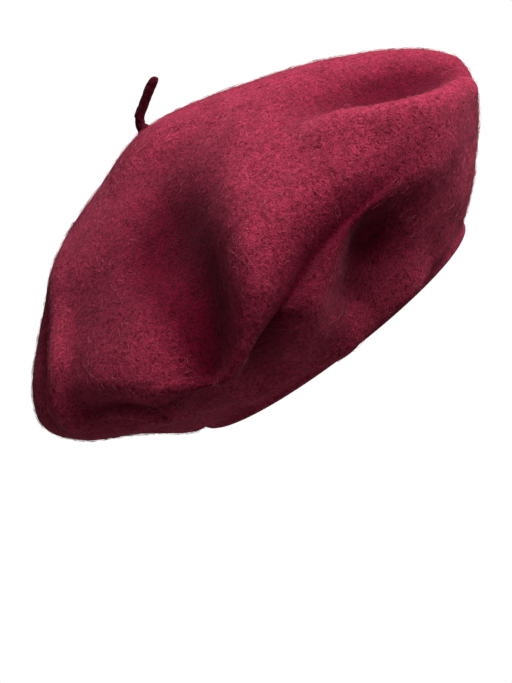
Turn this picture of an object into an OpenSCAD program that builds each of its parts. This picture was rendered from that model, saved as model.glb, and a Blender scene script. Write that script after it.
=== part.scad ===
// Felt beret with a short crown stem, in the shape it takes when worn tilted back.
// Millimetres. +Z is up, the front of the hat is -Y, the wearer's left is +X.
// The origin is the centre of the head opening.

/* [Fit] */
// Backward tilt of the head opening when worn
tilt = 38; // [0:1:50]
// Outside length of the head opening, front to back
rim_length = 172; // [150:1:200]
// Outside width of the head opening
rim_width = 150; // [130:1:180]

/* [Felt body] */
// Thickness of the felt
felt_t = 2.4; // [1.5:0.1:4]
// Mean radius of the widest edge
edge_r = 141; // [115:1:165]
// How much more the edge reaches out at the back than at the front
edge_back = 8; // [0:0.5:20]
// How much more the edge reaches out on the wearer's left
edge_left = 7; // [0:0.5:15]
// Oval share of the edge radius
edge_oval = 2; // [0:0.5:8]
// Mean height of the widest edge above the opening
edge_h = 55; // [35:1:75]
// Extra height of the edge at the front
edge_h_front = 5; // [0:0.5:15]
// Extra height of the edge at front and back, less at the sides
edge_h_oval = 5; // [0:0.5:12]
// Height of the crown centre above the opening
crown_h = 137.5; // [110:0.5:165]
// Crown centre towards the wearer's left
crown_x = 24; // [0:1:40]
// Crown centre towards the back
crown_y = 16.5; // [0:0.5:40]
// Roundness of the crown near its centre
crown_pow = 1.28; // [1:0.02:2.4]
// Roundness of the crown near its edge
crown_edge_pow = 0.65; // [0.4:0.01:1]
// How late the underside draws in towards the rim
under_pow = 1.2; // [0.8:0.05:2]

/* [Hem] */
// Height of the turned-in flap
hem_h = 9; // [5:0.5:15]
// Clear gap inside the fold
hem_gap = 1.6; // [1:0.1:3]
// Thickness of the elastic cord
elastic_d = 1.2; // [0.6:0.1:2]
// Number of stitches round the hem
hem_stitch_count = 56; // [24:1:90]

/* [Sweatband] */
// Width of the ribbon
band_w = 18; // [12:1:35]
// Thickness of the ribbon
band_t = 0.6; // [0.4:0.1:1.5]
// Height of its lower edge above the opening
band_z = 1.5; // [0:0.5:5]
// Width of the piece that covers the joint
joiner_w = 13; // [8:1:20]
// Number of stitches round the band
band_stitch_count = 84; // [40:1:120]

/* [Stem] */
// Diameter of the stem at its root
stem_d = 4.8; // [3:0.1:7]
// Diameter near the tip
stem_tip_d = 3.8; // [2:0.1:6]
// Length of the upper, leaning length of the stem
stem_len = 22; // [10:0.5:40]
// Height of the upper bend above the lower one
stem_bend_h = 5.6; // [4:0.2:9]
// Forward lean of the upper length
stem_lean = 14; // [0:1:45]

/* [Labels] */
// Width of the care label
label_w = 30; // [20:1:40]
// Length of the care label
label_h = 15; // [12:1:40]
// Thickness of the labels
label_t = 0.5; // [0.3:0.1:1]
// Position of the care label round the band, from the front by the wearer's left
label_at = 148; // [100:1:170]
// Width of the size tab
tab_w = 11; // [8:1:20]
// Length of the size tab
tab_h = 12; // [8:1:20]
// Position of the size tab round the band
tab_at = 204; // [190:1:250]

/* [Hidden] */
steps = 48;              // points round the body
fold_r = felt_t + hem_gap / 2;
band_gap = 0.3;          // clear space behind the ribbon
thread_d = 0.5;
felt_colour = [0.40, 0.10, 0.17];
thread_colour = [0.25, 0.05, 0.09];
ribbon_colour = [0.12, 0.10, 0.11];
label_colour = [0.92, 0.91, 0.88];

// ---- shape of the felt, in the hat's own frame: rim in the XY plane, crown up ----
function edge_radius(a) = edge_r - edge_back * cos(a) + edge_left * sin(a)
    + edge_oval * cos(2 * a);
function edge_height(a) = edge_h + edge_h_front * cos(a) + sin(a)
    + edge_h_oval * cos(2 * a);
function rim_radius(a) = 1 / sqrt(pow(2 * cos(a) / rim_length, 2) + pow(2 * sin(a) / rim_width, 2));
function spread(s) = s + (sin(90 * s) - s) * s;

function top_point(a, s) = let (x = spread(s), r = x * edge_radius(a), h = edge_height(a))
    [sin(a) * r + crown_x * (1 - x), crown_y * (1 - x) - cos(a) * r,
     h + (crown_h - h) * pow(max(0, 1 - pow(x, crown_pow)), crown_edge_pow)];
function under_point(a, d) = let (e = pow(d, under_pow), k = e * e * (3 - 2 * e),
    r = edge_radius(a) + (rim_radius(a) - edge_radius(a)) * k)
    [sin(a) * r, -cos(a) * r, edge_height(a) * (1 - d)];
// v runs 0 at the crown centre, 1 at the widest edge, 2 at the rim
function skin_point(a, v) = v <= 1 ? top_point(a, v) : under_point(a, v - 1);
function unit(p) = p / norm(p);
function skin_normal(a, v) = let (e = 0.004,
    down = skin_point(a, min(2, v + e)) - skin_point(a, max(0.01, v - e)),
    round = skin_point(a + 0.5, v) - skin_point(a - 0.5, v)) unit(cross(down, round));
function rim_out(a) = let (n = skin_normal(a, 2)) unit([n[0], n[1], 0]);

// one closed outline through the felt at azimuth a, from the crown outside to the crown inside
crown_v = [for (i = [1:14]) 0.06 * i, 0.885, 0.92, 0.95, 0.975];
under_v = [for (i = [0:11]) 1 + i / 11];
outside_v = concat(crown_v, under_v);
function hem_point(a, out, z) = let (r = rim_radius(a), n = rim_out(a))
    [sin(a) * r, -cos(a) * r, z] + n * out;
function fold(a) = concat(
    [for (t = [30:30:180]) hem_point(a, -fold_r * (1 - cos(t)), -fold_r * sin(t))],
    [for (z = [hem_h / 3, 2 * hem_h / 3, hem_h]) hem_point(a, -2 * fold_r, z)],
    [hem_point(a, -2 * fold_r + felt_t / 2, hem_h + felt_t / 3)],
    [for (z = [hem_h, hem_h / 2]) hem_point(a, -2 * fold_r + felt_t, z)],
    [for (t = [180:-45:45]) hem_point(a, -fold_r + cos(t) * hem_gap / 2, -sin(t) * hem_gap / 2)]);
function outline(a) = concat(
    [for (v = outside_v) skin_point(a, v)],
    fold(a),
    [for (i = [len(outside_v) - 1:-1:0]) skin_point(a, outside_v[i])
        - felt_t * skin_normal(a, outside_v[i])]);

module body_shell() {
    rings = [for (i = [0:steps - 1]) outline(i * 360 / steps)];
    m = len(rings[0]);
    n = steps;
    points = concat([for (r = rings) for (p = r) p],
                    [[crown_x, crown_y, crown_h], [crown_x, crown_y, crown_h - felt_t]]);
    sides = [for (i = [0:n - 1]) for (j = [0:m - 2]) let (a = i * m + j, b = ((i + 1) % n) * m + j)
        each [[a, a + 1, b + 1], [a, b + 1, b]]];
    caps = [for (i = [0:n - 1]) let (a = i * m, b = ((i + 1) % n) * m)
        each [[n * m, a, b], [n * m + 1, b + m - 1, a + m - 1]]];
    polyhedron(points, concat(sides, caps), convexity = 10);
}

// closed or open band swept round the opening; section is a list of [out, z]
module round_opening(section, from, to, n, closed) {
    m = len(section);
    count = closed ? n : n + 1;
    points = [for (i = [0:count - 1]) for (s = section)
        hem_point(from + (to - from) * i / n, s[0], s[1])];
    sides = [for (i = [0:n - 1]) for (j = [0:m - 1])
        let (a = i * m, b = ((i + 1) % count) * m, k = (j + 1) % m)
        each [[a + j, a + k, b + k], [a + j, b + k, b + j]]];
    ends = closed ? [] : [[for (j = [m - 1:-1:0]) j], [for (j = [0:m - 1]) n * m + j]];
    polyhedron(points, concat(sides, ends), convexity = 10);
}

// puts children at azimuth a: local X along the rim, local Y outwards, local Z up
module at_rim(a, out, z) {
    p = hem_point(a, out, z);
    n = rim_out(a);
    multmatrix([[n[1], n[0], 0, p[0]], [-n[0], n[1], 0, p[1]], [0, 0, 1, p[2]], [0, 0, 0, 1]])
        children();
}

module worn() { rotate([-tilt, 0, 0]) children(); }

// ---- nodes ----
module felt_body() { color(felt_colour) worn() body_shell(); }

root_r = stem_d / 2 + 0.2;
root_lift = root_r + 0.4;
function worn_point(p) = [p[0], p[1] * cos(tilt) + p[2] * sin(tilt), p[2] * cos(tilt) - p[1] * sin(tilt)];
root_pivot = worn_point([crown_x, crown_y, crown_h + root_lift]);
bend_pivot = root_pivot + [0, 0, stem_bend_h];

module stem_root() {
    color(felt_colour) translate(root_pivot) {
        sphere(r = root_r);
        cylinder(r = stem_d / 2, h = stem_bend_h - stem_d / 2 - 0.3);
    }
}

module crown_stem() {
    color(felt_colour) translate(bend_pivot) rotate([stem_lean, 0, 0]) {
        sphere(d = stem_d);
        cylinder(d1 = stem_d, d2 = stem_tip_d, h = stem_len - stem_tip_d / 2);
        translate([0, 0, stem_len - stem_tip_d / 2]) sphere(d = stem_tip_d);
    }
}

module stem_stitches() {
    color(thread_colour) worn() translate([crown_x, crown_y, crown_h - felt_t - 1.4])
        for (i = [0:5]) rotate([0, 0, i * 60]) translate([1.2, 0, 0])
            rotate([0, 90, 0]) cylinder(d = 0.7, h = 3.6, $fn = 12);
}

band_out = -2 * fold_r - band_gap;
band_face = band_out - band_t;
band_box = [[band_out, band_z], [band_face, band_z], [band_face, band_z + band_w],
            [band_out, band_z + band_w]];

module sweatband() {
    color(ribbon_colour) worn() round_opening(band_box, 180.3, 539.7, 72, false);
}

module sweatband_joiner() {
    half = joiner_w / 2 / 65 * 180 / PI;
    face = band_face - 0.15;
    color(ribbon_colour) worn() round_opening([[face, band_z + 0.5], [face - band_t, band_z + 0.5],
        [face - band_t, band_z + band_w - 0.5], [face, band_z + band_w - 0.5]],
        180 - half, 180 + half, 4, false);
}

module sweatband_stitching() {
    n = band_stitch_count;
    color(thread_colour) worn() for (i = [0:n - 1])
        let (a = (i + 0.5) * 360 / n) if (abs(a - 180) > 7)
            at_rim(a, band_face - thread_d / 2 - 0.1, band_z + 2.2) translate([-1.5, 0, 0])
                rotate([0, 90, 0]) cylinder(d = thread_d, h = 3, $fn = 10);
}

module hem_elastic() {
    r = elastic_d / 2;
    color([0.85, 0.84, 0.80]) worn() round_opening(
        [for (t = [0:45:315]) [-fold_r + r * cos(t), 0.2 - r * sin(t)]], 0, 360, 72, true);
}

module hem_stitching() {
    n = hem_stitch_count;
    color(thread_colour) worn() for (i = [0:n - 1])
        at_rim((i + 0.5) * 360 / n, -2 * fold_r + felt_t / 2 - 0.8, hem_h + felt_t / 3 + 0.6)
            rotate([-90, 0, 0]) cylinder(d = thread_d, h = felt_t + 1.2, $fn = 10);
}

// a label hangs from the top edge of the band, over the band's face
label_out = band_face - 0.7 - label_t / 2;
label_top = band_z + band_w - 1.5;
label_sag = pow(label_w / 2, 2) / 2 / 68;
tab_sag = pow(tab_w / 2, 2) / 2 / 68;

module care_label() {
    color(label_colour) worn() at_rim(label_at, label_out - label_sag, label_top)
        translate([-label_w / 2, -label_t / 2, -label_h]) cube([label_w, label_t, label_h]);
}

module size_tab() {
    color(label_colour) worn() at_rim(tab_at, label_out - tab_sag, label_top)
        translate([-tab_w / 2, -label_t / 2, -tab_h]) cube([tab_w, label_t, tab_h]);
}

module label_stitches() {
    color(label_colour) worn() {
        for (i = [-3:3]) at_rim(label_at, label_out - label_sag, label_top)
            translate([i * 4 - 1.2, 0.4, thread_d / 2 + 0.5]) rotate([0, 90, 0])
                cylinder(d = thread_d, h = 2.4, $fn = 10);
        for (i = [-1:1]) at_rim(tab_at, label_out - tab_sag, label_top)
            translate([i * 3.4 - 1.1, 0.4, thread_d / 2 + 0.5]) rotate([0, 90, 0])
                cylinder(d = thread_d, h = 2.2, $fn = 10);
    }
}

felt_body();
stem_root();
crown_stem();
stem_stitches();
sweatband();
sweatband_joiner();
sweatband_stitching();
hem_elastic();
hem_stitching();
care_label();
size_tab();
label_stitches();
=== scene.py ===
import math

import bpy
import numpy as np
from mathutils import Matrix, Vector, noise


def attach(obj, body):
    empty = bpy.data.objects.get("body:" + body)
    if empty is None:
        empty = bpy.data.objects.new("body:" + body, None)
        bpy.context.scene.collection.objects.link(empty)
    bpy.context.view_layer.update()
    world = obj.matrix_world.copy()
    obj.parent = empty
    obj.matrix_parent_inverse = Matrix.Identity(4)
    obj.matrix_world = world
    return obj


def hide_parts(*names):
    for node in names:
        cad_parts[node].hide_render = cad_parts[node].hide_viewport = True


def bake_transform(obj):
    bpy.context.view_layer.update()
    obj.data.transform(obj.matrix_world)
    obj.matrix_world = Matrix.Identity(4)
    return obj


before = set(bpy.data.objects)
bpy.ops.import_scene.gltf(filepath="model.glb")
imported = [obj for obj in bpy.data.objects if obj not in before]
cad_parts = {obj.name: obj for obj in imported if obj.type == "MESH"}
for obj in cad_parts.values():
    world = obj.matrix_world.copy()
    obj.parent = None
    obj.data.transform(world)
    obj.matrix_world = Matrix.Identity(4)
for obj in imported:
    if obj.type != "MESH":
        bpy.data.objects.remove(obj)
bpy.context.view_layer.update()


# ---- Felt body -----------------------------------------------------------------------------
# The whole hat is one piece of knitted wool, fulled to felt and shaped over a round form.
# It is a single sheet: crown, widest edge, underside, and the rim that turns in as a hem.
# The drape is set by the folds below, each one a soft ridge or valley along a path.
FELT_T = 0.0024
HEM_H = 0.009
FOLD_R = FELT_T + 0.0008
TILT = math.radians(38)
DRAPE_REACH = 0.3  # how far round the form the direction of the folds is averaged
FULL_SHADE_DEPTH = 0.011  # a fold this deep has all of the painted shade
FOLD_SHADE = (0.32, 0.06, 0.22, 1)
CROWN = np.array([0.024, 0.0165, 0.1375])
SEGMENTS = 216


def edge_radius(a):
    return 0.141 - 0.008 * np.cos(a) + 0.007 * np.sin(a) + 0.002 * np.cos(2 * a)


def edge_height(a):
    return 0.055 + 0.005 * np.cos(a) + 0.001 * np.sin(a) + 0.005 * np.cos(2 * a)


def rim_radius(a):
    return 1 / np.hypot(np.cos(a) / 0.086, np.sin(a) / 0.075)


def felt_point(a, v):
    """Outer skin in the hat's own frame: v is 0 at the crown, 1 at the widest edge, 2 at the rim."""
    s, d = np.clip(v, 0, 1), np.clip(v - 1, 0, 1)
    x = s + (np.sin(s * math.pi / 2) - s) * s
    r, h = edge_radius(a), edge_height(a)
    z = h + (CROWN[2] - h) * np.clip(1 - x**1.28, 0, 1) ** 0.65
    top = [np.sin(a) * x * r + CROWN[0] * (1 - x), CROWN[1] * (1 - x) - np.cos(a) * x * r, z]
    e = d**1.2
    q = r + (rim_radius(a) - r) * e * e * (3 - 2 * e)
    under = [np.sin(a) * q, -np.cos(a) * q, h * (1 - d)]
    return np.where((v <= 1)[..., None], np.stack(top, -1), np.stack(under, -1))


def felt_normal(a, v, reach=0.004):
    """Out of the felt; a long reach gives the general direction, smooth across the tight edge."""
    down = felt_point(a, np.minimum(2, v + reach)) - felt_point(a, np.maximum(0.01, v - reach))
    around = felt_point(a + 0.01, v) - felt_point(a - 0.01, v)
    n = np.cross(down, around)
    return n / np.linalg.norm(n, axis=-1, keepdims=True)


def hem_point(a, out, z):
    """A point beside the rim: out is away from the head, z is up from the opening."""
    n = felt_normal(a, np.full_like(a, 2.0)) * [1, 1, 0]
    n /= np.linalg.norm(n, axis=-1, keepdims=True)
    r = rim_radius(a)
    rim = np.stack([np.sin(a) * r, -np.cos(a) * r, np.zeros_like(a)], -1)
    return rim + n * out + np.array([0, 0, 1.0]) * z


def worn(p):
    """Tilts hat coordinates back, as the hat is worn."""
    c, s = math.cos(TILT), math.sin(TILT)
    return np.stack([p[..., 0], p[..., 1] * c + p[..., 2] * s, p[..., 2] * c - p[..., 1] * s], -1)


# name, path as (degrees round from the front, v), widths in mm, heights in mm (a valley is minus)
FOLDS = [
    ("front_crest", [(342, 1.1), (325, 0.92), (316, 0.8), (311, 0.68)], [9, 11, 14], [5, 7, 6]),
    ("front_trough", [(350, 0.85), (336, 0.72), (325, 0.62)], [20, 24, 26], [-10, -17, -10]),
    ("front_wall", [(20, 1.7), (0, 1.75), (341, 1.79), (328, 1.7)], [20], [5]),
    ("main_crease", [(314, 1.08), (302, 0.99), (290, 0.94), (280, 0.96), (272, 1.08), (264, 1.34),
                     (250, 1.72)], [12, 16, 18, 18, 17, 15, 12], [-4, -9, -13, -16, -17, -16, -6]),
    ("cheek_ridge", [(304, 1.22), (293, 1.12), (285, 1.13), (278, 1.24), (271, 1.44), (262, 1.62)],
     [8, 8, 9, 10], [1, 3, 4, 5, 4]),
    ("cheek_hollow", [(304, 1.42), (295, 1.48), (286, 1.56)], [16, 19, 16], [-8, -16, -10]),
    ("rim_band", [(322, 1.86), (300, 1.86), (275, 1.86), (255, 1.88)], [8], [1, 6, 6, 3]),
    ("hump", [(262, 0.2)], [24], [5]),
    ("side_fold", [(276, 0.62), (268, 0.88), (263, 1.08), (258, 1.3)], [16, 14, 12], [3, 7, 8, 5]),
    ("side_valley", [(262, 0.36), (256, 0.56), (255, 0.78), (252, 1.02), (244, 1.5)],
     [26, 26, 20, 16, 12], [-6, -13, -16, -11, -4]),
    ("lobe_wall", [(242, 0.58), (228, 0.6)], [30], [-5]),
    ("back_lobe", [(232, 0.94), (240, 1.0)], [18], [3]),
    ("back_shoulder", [(190, 0.42), (203, 0.5)], [26], [5]),
    ("back_edge_ridge", [(201, 0.46), (207, 0.57), (214, 0.75), (213, 0.91)], [8], [1, 2, 6, 6]),
    ("back_edge_valley", [(198, 0.62), (202, 0.76), (206, 0.92)], [9], [-6]),
    ("low_line", [(219, 0.95), (230, 1.04), (239, 1.12), (243, 1.24), (240, 1.5), (232, 1.8)],
     [7, 9, 10, 9], [-6, -11, -8, -6, -4, -3]),
    ("low_crest", [(226, 1.14), (237, 1.34), (224, 1.6)], [6, 7], [4, 4, 2]),
    ("low_hollow", [(221, 1.2), (228, 1.38), (232, 1.5)], [11], [-4, -8, -5]),
]
# The slack of the side hangs down under its own weight.
SAGS = [("side_sag", [(270, 1.0), (256, 1.04), (242, 1.0)], [24], [12, 19, 12])]


def smooth_path(knots, steps=12):
    """A curve through every knot, so that a fold has no corners."""
    p = np.vstack([2 * knots[0] - knots[1], knots, 2 * knots[-1] - knots[-2]])
    u = np.linspace(0, 1, steps, endpoint=False)[:, None]
    parts = [0.5 * (2 * b + (c - a) * u + (2 * a - 5 * b + 4 * c - d) * u**2
                    + (3 * b - a - 3 * c + d) * u**3) for a, b, c, d in zip(p, p[1:], p[2:], p[3:])]
    return np.vstack(parts + [knots[-1:]])


def fold_height(points, folds):
    total = np.zeros(len(points))
    for _, path, widths, heights in folds:
        k = len(path)
        along = np.linspace(0, 1, k)
        w = np.interp(along, np.linspace(0, 1, len(widths)), widths)
        h = np.interp(along, np.linspace(0, 1, len(heights)), heights)
        knots = np.column_stack([np.array(path, float), w, h])
        fine = smooth_path(knots) if k > 1 else knots
        line = felt_point(np.radians(fine[:, 0]), fine[:, 1])
        near, value = np.full(len(points), 1e9), np.zeros(len(points))
        for q, width, height in zip(line, fine[:, 2] / 1000, fine[:, 3] / 1000):
            d = np.linalg.norm(points - q, axis=1) / width
            closer = d < near
            near[closer], value[closer] = d[closer], height
        total += value * np.exp(-near**2)
    return total


def felt_relief(p):
    """The slight unevenness that fulling leaves."""
    broad = [noise.noise(Vector(q) * 38) for q in p]
    fine = [noise.noise(Vector(q) * 150 + Vector((7, 3, 1))) for q in p]
    return 0.0009 * np.array(broad) + 0.00025 * np.array(fine)


def felt_skin(a, v):
    """The draped outer skin with its folds, and how far each point is shaded as a fold (0 to 1)."""
    base = felt_point(a, v)
    soft = sum(felt_point(a, np.clip(v + step, 0, 2)) for step in (-0.36, -0.18, 0, 0.18, 0.36)) / 5
    side = np.exp(-(np.sin((a - math.radians(280)) / 2) / 0.38) ** 2)
    side = side * np.clip((v - 0.35) / 0.4, 0, 1) * np.clip((1.85 - v) / 0.4, 0, 1)
    base = base + (soft - base) * side[..., None]
    flat = base.reshape(-1, 3)
    rim, crown = np.clip((2 - v) / 0.15, 0, 1), np.clip(v / 0.1, 0, 1)
    folds = fold_height(flat, FOLDS).reshape(v.shape) * rim * crown
    rise = folds + felt_relief(flat).reshape(v.shape) * rim * crown
    drop = fold_height(flat, SAGS).reshape(v.shape) * rim * crown
    down = np.array([0, math.sin(TILT), -math.cos(TILT)])
    skin = base + felt_normal(a, np.maximum(v, 0.02), DRAPE_REACH) * rise[..., None] + down * drop[..., None]
    return skin, np.clip(-folds / FULL_SHADE_DEPTH, 0, 1)


skin_v = np.concatenate([np.linspace(0, 0.86, 62)[1:], np.linspace(0.86, 1.0, 16)[1:],
                         np.linspace(1.0, 2.0, 46)[1:]])
turn = np.radians(np.arange(22.5, 181, 22.5))
hem_path = [(-FOLD_R * (1 - math.cos(t)), -FOLD_R * math.sin(t)) for t in turn]
hem_path += [(-2 * FOLD_R, HEM_H * k / 5) for k in range(1, 6)]
ring_total = len(skin_v) + len(hem_path)

bpy.ops.object.select_all(action="DESELECT")
bpy.ops.mesh.primitive_uv_sphere_add(segments=SEGMENTS, ring_count=ring_total + 1, radius=1)
felt = bpy.context.object
felt.name = "felt_drape"
start = np.empty(len(felt.data.vertices) * 3)
felt.data.vertices.foreach_get("co", start)
start = start.reshape(-1, 3)
ring = np.rint(np.arccos(np.clip(start[:, 2], -1, 1)) / math.pi * (ring_total + 1)).astype(int)
azimuth = np.arctan2(start[:, 1], start[:, 0]) + math.pi / 2
v = np.concatenate([[0.0], skin_v])[np.minimum(ring, len(skin_v))]
skin, depth = felt_skin(azimuth, v)
hem = np.array([(0, 0)] + hem_path + [(0, 0)])[np.clip(ring - len(skin_v), 0, len(hem_path) + 1)]
at_hem = ring > len(skin_v)
skin[at_hem] = hem_point(azimuth[at_hem], hem[at_hem, :1], hem[at_hem, 1:])
depth[at_hem] = 0
felt.data.vertices.foreach_set("co", worn(skin).ravel())
# Each point's share of the painted shade in the folds, read by the felt colour: darker towards the bottom of
# a fold.
felt.data.attributes.new("painted_fold_shade", "FLOAT", "POINT").data.foreach_set("value", depth)
bpy.ops.object.mode_set(mode="EDIT")
bpy.context.tool_settings.mesh_select_mode = (True, False, False)
bpy.ops.mesh.select_all(action="DESELECT")
bpy.ops.object.mode_set(mode="OBJECT")
for vertex, k in zip(felt.data.vertices, ring):
    vertex.select = bool(k == ring_total + 1)
bpy.ops.object.mode_set(mode="EDIT")
bpy.ops.mesh.delete(type="VERT")
bpy.ops.object.mode_set(mode="OBJECT")
wall = felt.modifiers.new("felt_thickness", "SOLIDIFY")
wall.thickness, wall.offset = FELT_T, -1
bpy.ops.object.modifier_apply(modifier="felt_thickness")
bpy.ops.object.shade_smooth()


def new_material(name):
    m = bpy.data.materials.new(name)
    m.use_nodes = True
    return m, m.node_tree, m.node_tree.nodes["Principled BSDF"]


def node(tree, kind, **inputs):
    n = tree.nodes.new(kind)
    for key, value in inputs.items():
        n.inputs[key.replace("_", " ")].default_value = value
    return n


def colour_stops(ramp, low, high):
    """Sets the two ends of a ramp to (position, red, green, blue)."""
    for stop, (position, *colour) in zip(ramp.color_ramp.elements, (low, high)):
        stop.position, stop.color = position, (*colour, 1)


felt_mat, tree, shader = new_material("burgundy_felt")
link = tree.links.new
coords = node(tree, "ShaderNodeTexCoord")
grain = node(tree, "ShaderNodeTexNoise", Scale=600, Detail=3, Roughness=0.65, Distortion=1.2)
link(coords.outputs["Object"], grain.inputs["Vector"])
cloud = node(tree, "ShaderNodeTexNoise", Scale=70, Detail=3, Roughness=0.6)
link(coords.outputs["Object"], cloud.inputs["Vector"])
tone = tree.nodes.new("ShaderNodeValToRGB")
colour_stops(tone, (0.30, 0.13, 0.003, 0.012), (0.68, 0.62, 0.054, 0.126))
link(grain.outputs["Fac"], tone.inputs["Fac"])
patch = node(tree, "ShaderNodeMapRange", From_Min=0.3, From_Max=0.7, To_Min=0.82, To_Max=1.12)
link(cloud.outputs["Fac"], patch.inputs["Value"])
tint = node(tree, "ShaderNodeMix")
tint.data_type, tint.blend_type = "RGBA", "MULTIPLY"
tint.inputs["Factor"].default_value = 1
link(tone.outputs["Color"], tint.inputs[6])
link(patch.outputs["Result"], tint.inputs[7])
# Painted shade: the colour darkens towards the bottom of a fold, by more than the light alone
# would do. It is no property of the wool, and a white FOLD_SHADE turns it off.
deep = tree.nodes.new("ShaderNodeAttribute")
deep.attribute_name = "painted_fold_shade"
painted_shade_mix = node(tree, "ShaderNodeMix")
painted_shade_mix.data_type, painted_shade_mix.blend_type = "RGBA", "MULTIPLY"
painted_shade_mix.inputs[7].default_value = FOLD_SHADE
link(deep.outputs["Fac"], painted_shade_mix.inputs["Factor"])
link(tint.outputs[2], painted_shade_mix.inputs[6])
link(painted_shade_mix.outputs[2], shader.inputs["Base Color"])
bump = node(tree, "ShaderNodeBump", Strength=1.0, Distance=0.0011)
link(grain.outputs["Fac"], bump.inputs["Height"])
link(bump.outputs["Normal"], shader.inputs["Normal"])
shader.inputs["Roughness"].default_value = 0.85
shader.inputs["Specular IOR Level"].default_value = 0.05
shader.inputs["Sheen Weight"].default_value = 0.15
shader.inputs["Sheen Roughness"].default_value = 0.45
shader.inputs["Sheen Tint"].default_value = (1.0, 0.36, 0.50, 1)
felt.data.materials.append(felt_mat)
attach(felt, "beret")
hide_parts("felt_body")


# ---- Surface wool --------------------------------------------------------------------------
# Fulling and brushing leave fine curled fibres lying on the felt, and some stray long hairs.
# They are the same dyed wool, and they look paler because the light passes through them.
FIBRE_R = 0.00006
rng = np.random.default_rng(7)
fuzz_mat, tree, shader = new_material("loose_wool")
coords = node(tree, "ShaderNodeTexCoord")
shade = node(tree, "ShaderNodeTexNoise", Scale=90, Detail=2)
tree.links.new(coords.outputs["Object"], shade.inputs["Vector"])
tone = tree.nodes.new("ShaderNodeValToRGB")
colour_stops(tone, (0.3, 0.26, 0.018, 0.045), (0.7, 0.66, 0.14, 0.20))
tree.links.new(shade.outputs["Fac"], tone.inputs["Fac"])
tree.links.new(tone.outputs["Color"], shader.inputs["Base Color"])
shader.inputs["Roughness"].default_value = 0.7
shader.inputs["Specular IOR Level"].default_value = 0.12


def fibre_mesh(name, paths, radius):
    """Thin three-sided fibres, closed to a point at both ends, along paths[fibre, step]."""
    count, steps = paths.shape[:2]
    along = np.gradient(paths, axis=1)
    along /= np.linalg.norm(along, axis=-1, keepdims=True)
    side = np.cross(along, [0.31, 0.52, 0.79])
    side /= np.linalg.norm(side, axis=-1, keepdims=True)
    up = np.cross(along, side)
    spin = np.radians([0, 120, 240])
    rings = (paths[:, 1:-1, None] + radius * (np.cos(spin)[:, None] * side[:, 1:-1, None]
             + np.sin(spin)[:, None] * up[:, 1:-1, None]))
    verts = np.concatenate([paths[:, :1], rings.reshape(count, -1, 3), paths[:, -1:]], axis=1)
    per = verts.shape[1]
    one = [(0, 1 + (k + 1) % 3, 1 + k) for k in range(3)]
    one += [(1 + 3 * j + k, 1 + 3 * j + (k + 1) % 3, 4 + 3 * j + (k + 1) % 3, 4 + 3 * j + k)
            for j in range(steps - 3) for k in range(3)]
    one += [(per - 1, per - 4 + k, per - 4 + (k + 1) % 3) for k in range(3)]
    faces = [tuple(i * per + c for c in f) for i in range(count) for f in one]
    mesh = bpy.data.meshes.new(name)
    mesh.from_pydata(verts.reshape(-1, 3).tolist(), [], faces)
    mesh.update()
    piece = bpy.data.objects.new(name, mesh)
    bpy.context.collection.objects.link(piece)
    mesh.materials.append(fuzz_mat)
    return piece


def wool_paths(a, v, heading, curl, wave, length, lift, steps):
    """Curved paths on the skin from (a, v): heading and curl in radians, length in metres."""
    across = np.linalg.norm(felt_point(a + 0.01, v) - felt_point(a - 0.01, v), axis=-1) / 0.02
    down = np.linalg.norm(felt_point(a, v + 0.01) - felt_point(a, v - 0.01), axis=-1) / 0.02
    u = np.linspace(0, 1, steps)[None, :]
    turn = heading[:, None] + curl[:, None] * (u - 0.5) + wave[:, None] * np.sin(u * 7 + heading[:, None])
    ds = length[:, None] / (steps - 1)
    aa = a[:, None] + np.cumsum(np.cos(turn) * ds, axis=1) / np.maximum(across, 0.01)[:, None]
    vv = np.clip(v[:, None] + np.cumsum(np.sin(turn) * ds, axis=1) / down[:, None], 0.03, 1.96)
    high = lift[:, None] * np.sin(math.pi * (0.15 + 0.85 * u)) ** 0.8
    return worn(felt_skin(aa, vv)[0] + felt_normal(aa, vv, 0.05) * high[..., None])


def spread_over_felt(count):
    """Points spread evenly over the skin, fewer in the folds, where pale fibres would stand out."""
    a, v = rng.uniform(0, 2 * math.pi, count * 4), rng.uniform(0.04, 1.93, count * 4)
    step = 0.002
    area = np.linalg.norm(np.cross(felt_point(a + step, v) - felt_point(a - step, v),
                                   felt_point(a, v + step) - felt_point(a, v - step)), axis=-1)
    keep = rng.uniform(0, 1, len(a)) < area / np.quantile(area, 0.98)
    a, v = a[keep][:count], v[keep][:count]
    loose = rng.uniform(0, 1, len(a)) > felt_skin(a, v)[1]
    return a[loose], v[loose]


a, v = spread_over_felt(11000)
n = len(a)
fuzz = fibre_mesh("felt_fuzz", wool_paths(a, v, rng.uniform(0, 2 * math.pi, n), rng.normal(0, 2.2, n),
                                          rng.normal(0, 0.5, n), rng.uniform(0.003, 0.0085, n),
                                          rng.uniform(0.0002, 0.0009, n), 5), FIBRE_R)
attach(fuzz, "beret")

a, v = spread_over_felt(70)
n = len(a)
hairs = fibre_mesh("stray_hairs", wool_paths(a, v, rng.uniform(0, 2 * math.pi, n), rng.normal(0, 3.0, n),
                                             rng.normal(0, 0.4, n), rng.uniform(0.012, 0.034, n),
                                             rng.uniform(0.0004, 0.0014, n), 18), FIBRE_R)
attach(hairs, "beret")


# ---- Stem ----------------------------------------------------------------------------------
# The short stem is a rolled tail of the same felt, sewn to the middle of the crown.
# It bends where it leaves the crown and again just above, and ends in a slanted, rounded tip.
STEM_ROOT = worn(CROWN + np.array([0, 0, 0.003]))
STEM_BEND = STEM_ROOT + np.array([0, 0, 0.0056])
STEM_LEAN = math.radians(14)
crown_up = worn(np.array([0, 0, 1.0]))
stem_up = np.array([0, -math.sin(STEM_LEAN), math.cos(STEM_LEAN)])


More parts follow.
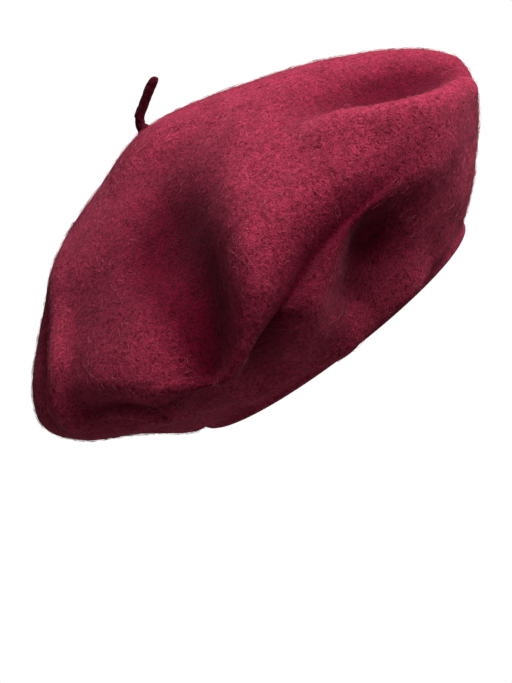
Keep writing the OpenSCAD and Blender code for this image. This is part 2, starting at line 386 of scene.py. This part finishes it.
def rolled_felt(name, rings):
    """A tail of felt pulled out ring by ring; a ring is its centre, its axis and its radius."""
    bpy.ops.object.select_all(action="DESELECT")
    bpy.ops.mesh.primitive_circle_add(vertices=18, radius=1, fill_type="NGON")
    tail = bpy.context.object
    tail.name = name
    bpy.ops.object.mode_set(mode="EDIT")
    for _ in rings[1:]:
        bpy.ops.mesh.extrude_region_move(TRANSFORM_OT_translate={"value": (0, 0, 1)})
    bpy.ops.mesh.select_all(action="SELECT")
    bpy.ops.mesh.normals_make_consistent(inside=False)
    bpy.ops.object.mode_set(mode="OBJECT")
    for vertex in tail.data.vertices:
        centre, axis, radius = rings[round(vertex.co.z)]
        angle = math.atan2(vertex.co.y, vertex.co.x)
        right = np.array([1.0, 0, 0])
        ahead = np.cross(axis, right)
        ahead /= np.linalg.norm(ahead)
        vertex.co = centre + radius * (math.cos(angle) * right + math.sin(angle) * ahead)
    smooth = tail.modifiers.new("rounding", "SUBSURF")
    smooth.levels = smooth.render_levels = 2
    bpy.ops.object.modifier_apply(modifier="rounding")
    bpy.ops.object.shade_smooth()
    for vertex in tail.data.vertices:
        lump = noise.noise(vertex.co * 420) * 0.00028 + noise.noise(vertex.co * 1100) * 0.00010
        vertex.co += vertex.normal * lump
    tail.data.materials.append(stem_mat)
    return tail


stem_mat = felt_mat.copy()
stem_mat.name = "stem_felt"
for part in stem_mat.node_tree.nodes:
    if part.type == "VALTORGB":
        dark_wool, light_wool = part.color_ramp.elements
        dark_wool.color, light_wool.color = (0.02, 0.001, 0.003, 1), (0.13, 0.006, 0.022, 1)
crown_top = worn(CROWN)
foot = rolled_felt("stem_foot", [
    (crown_top - 0.0016 * crown_up, crown_up, 0.0046), (crown_top - 0.0004 * crown_up, crown_up, 0.0043),
    (crown_top + 0.0006 * crown_up, crown_up, 0.0034), (crown_top + 0.0018 * crown_up, crown_up, 0.0029),
    (STEM_ROOT, (crown_up + stem_up) / 2, 0.0027), (STEM_ROOT + [0, 0, 0.0013], stem_up, 0.0027),
    (STEM_ROOT + [0, 0, 0.0024], stem_up, 0.0027), (STEM_ROOT + [0, 0, 0.0030], stem_up, 0.0026)])
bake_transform(foot)
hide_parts("stem_root")

tail_rings = [(STEM_BEND + [0, 0, -0.0036], stem_up, 0.0024), (STEM_BEND + [0, 0, -0.0031], stem_up, 0.0027)]
for out, radius, sway in [(-0.0018, 0.00272, 0), (0, 0.0027, -0.0001), (0.003, 0.00262, -0.0005),
                          (0.006, 0.00258, -0.0010), (0.0095, 0.0026, -0.0016), (0.013, 0.00265, -0.0021),
                          (0.0155, 0.0027, -0.0026), (0.0172, 0.00262, -0.0031), (0.0188, 0.0020, -0.0037),
                          (0.0198, 0.0010, -0.0040)]:
    tail_rings.append((STEM_BEND + out * stem_up + [0, sway, 0], stem_up, radius))
tail = rolled_felt("stem_tail", tail_rings)
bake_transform(tail)
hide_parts("crown_stem")


# ---- Sewing thread and hem elastic -----------------------------------------------------------
# Matt burgundy thread holds the stem, the ribbon and the hem; pale thread holds the labels.
# The round elastic is a braided cord that runs loose inside the fold of the hem.
def new_group(name, inputs, outputs):
    group = bpy.data.node_groups.new(name, "ShaderNodeTree")
    for label, kind, value in inputs:
        socket = group.interface.new_socket(name=label, in_out="INPUT", socket_type=kind)
        if value is not None:
            socket.default_value = value
    for label, kind in outputs:
        group.interface.new_socket(name=label, in_out="OUTPUT", socket_type=kind)
    return group, group.nodes.new("NodeGroupInput"), group.nodes.new("NodeGroupOutput")


def mix_patterns(group, given, result, main, other, share):
    """Colour and height from two patterns: share of the main one, and the rest of the other."""
    link = group.links.new
    rest = node(group, "ShaderNodeMath")
    rest.operation = "MULTIPLY"
    rest.inputs[1].default_value = 1 - share
    link(other.outputs["Fac"], rest.inputs[0])
    both = node(group, "ShaderNodeMath")
    both.operation = "MULTIPLY_ADD"
    both.inputs[1].default_value = share
    link(main.outputs["Fac"], both.inputs[0])
    link(rest.outputs["Value"], both.inputs[2])
    mixed = node(group, "ShaderNodeMix")
    mixed.data_type = "RGBA"
    link(both.outputs["Value"], mixed.inputs["Factor"])
    link(given.outputs["Dark"], mixed.inputs[6])
    link(given.outputs["Light"], mixed.inputs[7])
    link(mixed.outputs[2], result.inputs["Color"])
    link(both.outputs["Value"], result.inputs["Height"])


# Slanted strands of a twisted or braided yarn, with a little loose fibre over them.
twist_group, given, result = new_group(
    "yarn_twist", [("Vector", "NodeSocketVector", None), ("Strands", "NodeSocketFloat", 500.0),
                   ("Dark", "NodeSocketColor", (0.1, 0.1, 0.1, 1)),
                   ("Light", "NodeSocketColor", (0.5, 0.5, 0.5, 1))],
    [("Color", "NodeSocketColor"), ("Height", "NodeSocketFloat")])
link = twist_group.links.new
strands = node(twist_group, "ShaderNodeTexWave", Distortion=1.2, Detail=1)
strands.bands_direction = "DIAGONAL"
link(given.outputs["Vector"], strands.inputs["Vector"])
link(given.outputs["Strands"], strands.inputs["Scale"])
loose = node(twist_group, "ShaderNodeTexNoise", Scale=2200, Detail=2)
link(given.outputs["Vector"], loose.inputs["Vector"])
mix_patterns(twist_group, given, result, strands, loose, 0.7)


def yarn_material(name, strands, dark, light, depth):
    mat, tree, shader = new_material(name)
    coords = node(tree, "ShaderNodeTexCoord")
    yarn = tree.nodes.new("ShaderNodeGroup")
    yarn.node_tree = twist_group
    yarn.inputs["Strands"].default_value = strands
    yarn.inputs["Dark"].default_value, yarn.inputs["Light"].default_value = (*dark, 1), (*light, 1)
    tree.links.new(coords.outputs["Object"], yarn.inputs["Vector"])
    tree.links.new(yarn.outputs["Color"], shader.inputs["Base Color"])
    bump = node(tree, "ShaderNodeBump", Strength=0.8, Distance=depth)
    tree.links.new(yarn.outputs["Height"], bump.inputs["Height"])
    tree.links.new(bump.outputs["Normal"], shader.inputs["Normal"])
    shader.inputs["Roughness"].default_value = 0.7
    shader.inputs["Sheen Weight"].default_value = 0.15
    return mat


burgundy_thread = yarn_material("burgundy_thread", 420, (0.045, 0.004, 0.010), (0.20, 0.016, 0.036), 0.0001)
pale_thread = yarn_material("pale_thread", 420, (0.45, 0.43, 0.38), (0.86, 0.84, 0.78), 0.0001)
braid = yarn_material("braided_elastic", 260, (0.42, 0.40, 0.35), (0.84, 0.82, 0.76), 0.0002)
for part, finish in [("stem_stitches", burgundy_thread), ("sweatband_stitching", burgundy_thread),
                     ("hem_stitching", burgundy_thread), ("label_stitches", pale_thread),
                     ("hem_elastic", braid)]:
    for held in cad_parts[part].material_slots:
        held.material = finish


# ---- Sweatband -------------------------------------------------------------------------------
# A dark grosgrain ribbon lines the opening, sewn along its lower edge to the turned-in hem.
# Its two ends meet at the back, where a short piece of the same ribbon covers the joint.
BAND_OUT = -2 * FOLD_R - 0.0003
BAND_T, BAND_Z, BAND_W = 0.0006, 0.0015, 0.018

# Crossing rows and columns of a woven tape, in the tape's own UV.
weave_group, given, result = new_group(
    "tape_weave", [("Vector", "NodeSocketVector", None), ("Columns", "NodeSocketFloat", 100.0),
                   ("Rows", "NodeSocketFloat", 20.0), ("Dark", "NodeSocketColor", (0.1, 0.1, 0.1, 1)),
                   ("Light", "NodeSocketColor", (0.5, 0.5, 0.5, 1))],
    [("Color", "NodeSocketColor"), ("Height", "NodeSocketFloat")])
link = weave_group.links.new
columns = node(weave_group, "ShaderNodeTexWave", Distortion=0.3, Detail=1)
rows = node(weave_group, "ShaderNodeTexWave", Distortion=0.3, Detail=1)
columns.bands_direction, rows.bands_direction = "X", "Y"
for wave, count in ((columns, "Columns"), (rows, "Rows")):
    link(given.outputs["Vector"], wave.inputs["Vector"])
    link(given.outputs[count], wave.inputs["Scale"])
mix_patterns(weave_group, given, result, columns, rows, 0.75)


def tape_material(name, columns, rows, dark, light, depth, roughness):
    mat, tree, shader = new_material(name)
    coords = node(tree, "ShaderNodeTexCoord")
    weave = tree.nodes.new("ShaderNodeGroup")
    weave.node_tree = weave_group
    weave.inputs["Columns"].default_value, weave.inputs["Rows"].default_value = columns, rows
    weave.inputs["Dark"].default_value, weave.inputs["Light"].default_value = (*dark, 1), (*light, 1)
    tree.links.new(coords.outputs["UV"], weave.inputs["Vector"])
    tree.links.new(weave.outputs["Color"], shader.inputs["Base Color"])
    bump = node(tree, "ShaderNodeBump", Strength=0.6, Distance=depth)
    tree.links.new(weave.outputs["Height"], bump.inputs["Height"])
    tree.links.new(bump.outputs["Normal"], shader.inputs["Normal"])
    shader.inputs["Roughness"].default_value = roughness
    return mat, shader


def tape(name, columns, rows, place, thickness):
    """A strip of ribbon or label: place takes across 0..1 and up 0..1 and gives its middle surface."""
    bpy.ops.object.select_all(action="DESELECT")
    bpy.ops.mesh.primitive_grid_add(x_subdivisions=columns, y_subdivisions=rows, size=2, calc_uvs=True)
    strip = bpy.context.object
    strip.name = name
    flat = np.empty(len(strip.data.vertices) * 3)
    strip.data.vertices.foreach_get("co", flat)
    flat = flat.reshape(-1, 3)
    strip.data.vertices.foreach_set("co", worn(place((flat[:, 0] + 1) / 2, (flat[:, 1] + 1) / 2)).ravel())
    wall = strip.modifiers.new("tape_thickness", "SOLIDIFY")
    wall.thickness, wall.offset = thickness, 0
    bpy.ops.object.modifier_apply(modifier="tape_thickness")
    bpy.ops.object.mode_set(mode="EDIT")
    bpy.ops.mesh.select_all(action="SELECT")
    bpy.ops.mesh.normals_make_consistent(inside=False)
    bpy.ops.object.mode_set(mode="OBJECT")
    bpy.ops.object.shade_smooth_by_angle(angle=math.radians(40))
    return strip


def band_place(across, up):
    around = np.radians(180.3 + 359.4 * across)
    ease = 0.00012 * np.sin(around * 9) * (up - 0.3)
    height = BAND_Z + BAND_W * up + 0.00025 * np.sin(around * 5 + 1) * up
    return hem_point(around, (BAND_OUT - BAND_T / 2 + ease)[:, None], height[:, None])


band = tape("ribbon_band", 150, 6, band_place, BAND_T - 0.0001)
ribbon_mat, shader = tape_material("grosgrain_ribbon", 125, 3.2, (0.006, 0.004, 0.005), (0.055, 0.040, 0.046),
                                   0.0003, 0.5)
shader.inputs["Sheen Weight"].default_value = 0.1
band.data.materials.append(ribbon_mat)
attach(band, "beret")
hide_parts("sweatband")


def joiner_place(across, up):
    around = np.radians(180 + 11.4 * (across - 0.5))
    rise = BAND_Z + 0.0005 + (BAND_W - 0.001) * up
    return hem_point(around, np.full_like(across, BAND_OUT - BAND_T - 0.00045)[:, None], rise[:, None])


joiner = tape("ribbon_joiner", 8, 8, joiner_place, 0.0005)
joiner_mat, shader = tape_material("joiner_ribbon", 3.6, 5, (0.006, 0.004, 0.005), (0.055, 0.040, 0.046),
                                   0.0003, 0.5)
shader.inputs["Sheen Weight"].default_value = 0.1
joiner.data.materials.append(joiner_mat)
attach(joiner, "beret")
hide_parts("sweatband_joiner")


# ---- Labels ----------------------------------------------------------------------------------
# A care label and a small size tab of woven tape hang from the top of the ribbon, left blank.
# Each is sewn along its top edge only.
LABEL_T = 0.0005
LABEL_GAP = 0.0007  # the labels stand this far off the ribbon
RIBBON_R = 0.068  # rough radius of the ribbon where the labels hang
LABEL_TOP = BAND_Z + BAND_W - 0.0015


def flap(name, at, width, drop, columns, rows):
    around = math.radians(at)
    sag = (width / 2) ** 2 / 2 / RIBBON_R
    out = BAND_OUT - BAND_T - LABEL_GAP - LABEL_T / 2 - sag
    middle = hem_point(np.array([around]), np.array([[out]]), np.array([[0.0]]))[0]
    edge = hem_point(np.array([around]), np.array([[out + 0.01]]), np.array([[0.0]]))[0] - middle
    outward = edge / np.linalg.norm(edge)
    along = np.array([outward[1], -outward[0], 0])

    def place(across, up):
        curl = 0.0006 * (1 - up) ** 2 * (2 * across - 1) ** 2 + 0.0003 * (1 - up) ** 3
        return (middle + along * ((across - 0.5) * width)[:, None] - outward * curl[:, None]
                + np.array([0, 0, 1.0]) * (LABEL_TOP - drop * (1 - up))[:, None])

    piece = tape(name, columns, rows, place, LABEL_T)
    top = worn(middle + np.array([0, 0, LABEL_TOP]))
    return piece, top


label_mat, shader = tape_material("woven_label", 70, 40, (0.62, 0.60, 0.55), (0.88, 0.87, 0.83), 0.0001, 0.45)
shader.inputs["Sheen Weight"].default_value = 0.2
for name, body, part, at, width, drop in [("care_flap", "label", "care_label", 148, 0.030, 0.015),
                                          ("size_flap", "tab", "size_tab", 204, 0.011, 0.012)]:
    piece, top = flap(name, at, width, drop, 16, 14)
    piece.data.materials.append(label_mat)
    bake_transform(piece)
    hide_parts(part)


# ---- Floor, lights and camera ----------------------------------------------------------------
# A white floor and background for the camera, one large soft light above and two weak ones.
SENSOR_HEIGHT = 24
CAMERA_AWAY, CAMERA_RISE = 0.63, math.radians(11.5)
CAMERA_SIDE, CAMERA_DIP = 0.0385, 12.47
bpy.ops.object.select_all(action="DESELECT")
bpy.ops.mesh.primitive_plane_add(size=12, location=(0, 0, -0.45))
floor = bpy.context.object
floor.name = "floor"
floor_mat, tree, shader = new_material("pale_floor")
shader.inputs["Base Color"].default_value = (0.3, 0.3, 0.3, 1)
shader.inputs["Roughness"].default_value = 0.9
seen = tree.nodes.new("ShaderNodeLightPath")
pale = node(tree, "ShaderNodeEmission", Color=(1, 1, 1, 1), Strength=1.0)
blend = tree.nodes.new("ShaderNodeMixShader")
tree.links.new(seen.outputs["Is Camera Ray"], blend.inputs["Fac"])
tree.links.new(shader.outputs["BSDF"], blend.inputs[1])
tree.links.new(pale.outputs["Emission"], blend.inputs[2])
tree.links.new(blend.outputs["Shader"], tree.nodes["Material Output"].inputs["Surface"])
floor.data.materials.append(floor_mat)

world = bpy.data.worlds.new("studio")
world.use_nodes = True
sky = world.node_tree
fill = sky.nodes["Background"]
fill.inputs["Color"].default_value = (1, 0.98, 0.97, 1)
fill.inputs["Strength"].default_value = 0.08
sweep = node(sky, "ShaderNodeBackground", Color=(1, 1, 1, 1), Strength=1.0)
seen = sky.nodes.new("ShaderNodeLightPath")
mix = sky.nodes.new("ShaderNodeMixShader")
sky.links.new(seen.outputs["Is Camera Ray"], mix.inputs["Fac"])
sky.links.new(fill.outputs["Background"], mix.inputs[1])
sky.links.new(sweep.outputs["Background"], mix.inputs[2])
sky.links.new(mix.outputs["Shader"], sky.nodes["World Output"].inputs["Surface"])
bpy.context.scene.world = world
bpy.context.scene.view_settings.view_transform = "Standard"


def softbox(name, place, target, size, power):
    data = bpy.data.lights.new(name, "AREA")
    data.shape, data.size, data.energy = "DISK", size, power
    lamp = bpy.data.objects.new(name, data)
    bpy.context.collection.objects.link(lamp)
    lamp.location = place
    lamp.rotation_euler = (Vector(target) - Vector(place)).to_track_quat("-Z", "Y").to_euler()


softbox("key", (-0.08, -0.32, 1.15), (0, 0, 0.05), 0.9, 23.5)
softbox("side", (-0.75, 0.35, 0.75), (0, 0.03, 0.03), 0.8, 0.5)
softbox("front", (-0.3, -1.1, 0.5), (0, 0, 0), 0.6, 0.6)

camera_data = bpy.data.cameras.new("camera")
camera = bpy.data.objects.new("camera", camera_data)
bpy.context.collection.objects.link(camera)
camera_data.sensor_fit = "VERTICAL"
camera_data.sensor_height = SENSOR_HEIGHT
camera_data.lens = SENSOR_HEIGHT * 1200 / 683
camera_data.clip_start, camera_data.clip_end = 0.02, 50
camera.location = (-CAMERA_AWAY * math.cos(CAMERA_RISE), CAMERA_SIDE, CAMERA_AWAY * math.sin(CAMERA_RISE))
camera.rotation_euler = (math.radians(90 - CAMERA_DIP), 0, math.radians(-90))
bpy.context.scene.camera = camera
